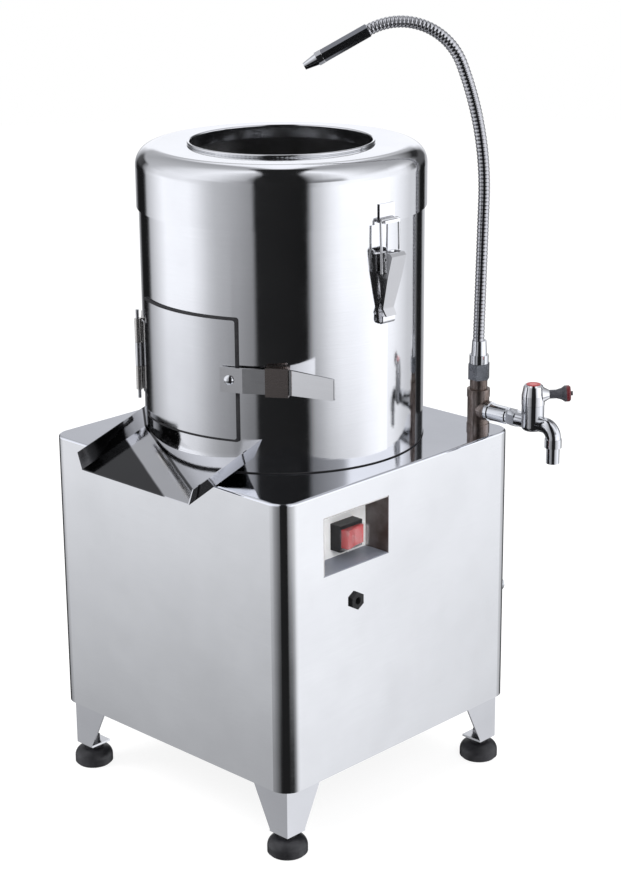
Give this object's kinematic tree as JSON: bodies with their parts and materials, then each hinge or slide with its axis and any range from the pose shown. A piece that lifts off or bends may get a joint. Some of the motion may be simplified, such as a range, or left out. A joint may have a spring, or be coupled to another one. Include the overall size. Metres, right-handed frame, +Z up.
{
  "type": "electric potato peeler",
  "caption": "Floor-standing electric potato peeler: abrasive drum on a square steel cabinet, lift-off lid, side discharge door and chute, rocker switch, water tap and gooseneck spray.",
  "frame": {"origin": "centre of the whole machine's bounding box in X and Y, at floor level (undersides of the feet)", "axes": "+Z up; -Y is the front with the discharge chute; +X is the side with the switch and the tap"},
  "size_m": [0.553, 0.535, 1.0588],
  "materials": {
    "cabinet_steel": "satin",
    "polished_steel": "polished",
    "drum_steel": "fine brushed",
    "latch_steel": "polished",
    "fastener_steel": "satin",
    "chrome": "mirror",
    "tee_nickel": "polished",
    "dark_nut": "satin",
    "cast_metal": "machined",
    "motor_paint": "satin",
    "abrasive": "coarse grit",
    "black_rubber": "matt",
    "foot_rubber": "matt",
    "black_plastic": "satin",
    "handle_plastic": "satin",
    "red_plastic": "gloss",
    "clear_cover": "clear"
  },
  "bodies": {
    "frame": {"cabinet_shell": "cabinet_steel", "deck_plate": "polished_steel", "rear_cover": "cabinet_steel", "rear_cover_screws": "fastener_steel", "switch_recess": "cabinet_steel", "legs": "polished_steel", "foot_nuts": "fastener_steel", "drum_shell": "drum_steel", "drum_liner": "abrasive", "drum_pan": "polished_steel", "drain_pipe": "polished_steel", "discharge_chute": "polished_steel", "latch_keeper": "latch_steel", "drum_hinge_leaf": "latch_steel", "toggle_bases": "latch_steel", "hinge_pin": "fastener_steel", "bearing_housing": "cast_metal", "shaft_bearings": "polished_steel", "shaft_seal": "black_rubber", "frame_bolts": "fastener_steel", "motor": "motor_paint", "motor_mount": "polished_steel", "drive_belt": "black_rubber", "switch_body": "black_plastic", "switch_cover": "clear_cover", "cable_gland": "black_plastic", "gland_nut": "black_plastic", "tee_fitting": "tee_nickel", "inlet_elbow": "chrome", "tap_body": "chrome", "tap_spout_end": "chrome", "neck_nut": "dark_nut"},
    "door": {"discharge_door": "drum_steel", "door_edging": "black_rubber", "door_hinge_leaf": "latch_steel", "latch_screw": "fastener_steel"},
    "latch_bar": {"latch_bar": "polished_steel"},
    "lid": {"lid": "drum_steel", "mouth_rim": "drum_steel", "lid_keepers": "latch_steel"},
    "lever_right": {"toggle_lever_right": "latch_steel"},
    "lever_left": {"toggle_lever_left": "latch_steel"},
    "bail_right": {"toggle_bail_right": "latch_steel"},
    "bail_left": {"toggle_bail_left": "latch_steel"},
    "turntable": {"abrasive_disc": "abrasive", "drive_shaft": "polished_steel", "driven_pulley": "cast_metal"},
    "motor_rotor": {"motor_rotor": "polished_steel", "motor_pulley": "cast_metal"},
    "rocker": {"switch_rocker": "red_plastic"},
    "tap": {"tap_cap": "chrome", "tap_handle": "handle_plastic"},
    "gooseneck": {"neck_ferrule": "chrome", "neck_tube": "chrome", "spray_grip": "fastener_steel"},
    "nozzle": {"spray_tip": "chrome"},
    "foot_front_left": {"foot_front_left": "foot_rubber"},
    "foot_front_right": {"foot_front_right": "foot_rubber"},
    "foot_rear_left": {"foot_rear_left": "foot_rubber"},
    "foot_rear_right": {"foot_rear_right": "foot_rubber"}
  },
  "joints": [
    {"name": "door_open", "type": "hinge", "parent": "frame", "child": "door", "pos_m": [-0.15989, -0.15839, 0.62], "axis": [0, 0, -1], "range_deg": [0, 110]},
    {"name": "latch_lift", "type": "hinge", "parent": "door", "child": "latch_bar", "pos_m": [0.02963, -0.17147, 0.622], "axis": [0.4225, -0.9064, 0], "range_deg": [0, 45]},
    {"name": "lid_lift", "type": "slide", "parent": "frame", "child": "lid", "axis": [0, 0, 1], "range_m": [0, 0.08]},
    {"name": "lever_right_pull", "type": "hinge", "parent": "frame", "child": "lever_right", "pos_m": [0.15138, 0.00142, 0.77], "axis": [-0.0349, -0.9994, 0], "range_deg": [0, 90]},
    {"name": "lever_left_pull", "type": "hinge", "parent": "frame", "child": "lever_left", "pos_m": [-0.25438, 0.01558, 0.77], "axis": [0.0349, 0.9994, 0], "range_deg": [0, 90]},
    {"name": "bail_right_swing", "type": "hinge", "parent": "lever_right", "child": "bail_right", "pos_m": [0.15038, 0.00145, 0.752], "axis": [-0.0349, -0.9994, 0], "range_deg": [-75, 0]},
    {"name": "bail_left_swing", "type": "hinge", "parent": "lever_left", "child": "bail_left", "pos_m": [-0.25338, 0.01555, 0.752], "axis": [0.0349, 0.9994, 0], "range_deg": [-75, 0]},
    {"name": "turntable_spin", "type": "hinge", "parent": "frame", "child": "turntable", "pos_m": [-0.0515, 0.0085, 0.54], "axis": [0, 0, 1], "continuous": true},
    {"name": "motor_spin", "type": "hinge", "parent": "frame", "child": "motor_rotor", "pos_m": [-0.15581, 0.1285, 0.37], "axis": [0, 0, 1], "continuous": true},
    {"name": "rocker_press", "type": "hinge", "parent": "frame", "child": "rocker", "pos_m": [0.146, -0.074, 0.414], "axis": [0, 0, -1], "range_deg": [0, 20]},
    {"name": "tap_turn", "type": "hinge", "parent": "frame", "child": "tap", "pos_m": [0.2295, 0.2005, 0.561], "axis": [0, 0, -1], "range_deg": [0, 90]},
    {"name": "gooseneck_swivel", "type": "hinge", "parent": "frame", "child": "gooseneck", "pos_m": [0.1345, 0.2005, 0.577], "axis": [0, 0, 1], "range_deg": [-150, 150]},
    {"name": "nozzle_turn", "type": "hinge", "parent": "gooseneck", "child": "nozzle", "pos_m": [-0.01305, 0.04819, 1.00718], "axis": [-0.6097, -0.6294, -0.4818], "range_deg": [0, 90]},
    {"name": "foot_front_left_height", "type": "slide", "parent": "frame", "child": "foot_front_left", "axis": [0, 0, -1], "range_m": [0, 0.015]},
    {"name": "foot_front_right_height", "type": "slide", "parent": "frame", "child": "foot_front_right", "axis": [0, 0, -1], "range_m": [0, 0.015]},
    {"name": "foot_rear_left_height", "type": "slide", "parent": "frame", "child": "foot_rear_left", "axis": [0, 0, -1], "range_m": [0, 0.015]},
    {"name": "foot_rear_right_height", "type": "slide", "parent": "frame", "child": "foot_rear_right", "axis": [0, 0, -1], "range_m": [0, 0.015]}
  ],
  "couplings": [
    {"joint": "bail_right_swing", "follows": "lever_right_pull", "ratio": -0.8},
    {"joint": "bail_left_swing", "follows": "lever_left_pull", "ratio": -0.8},
    {"joint": "motor_spin", "follows": "turntable_spin", "ratio": 3.1502}
  ]
}
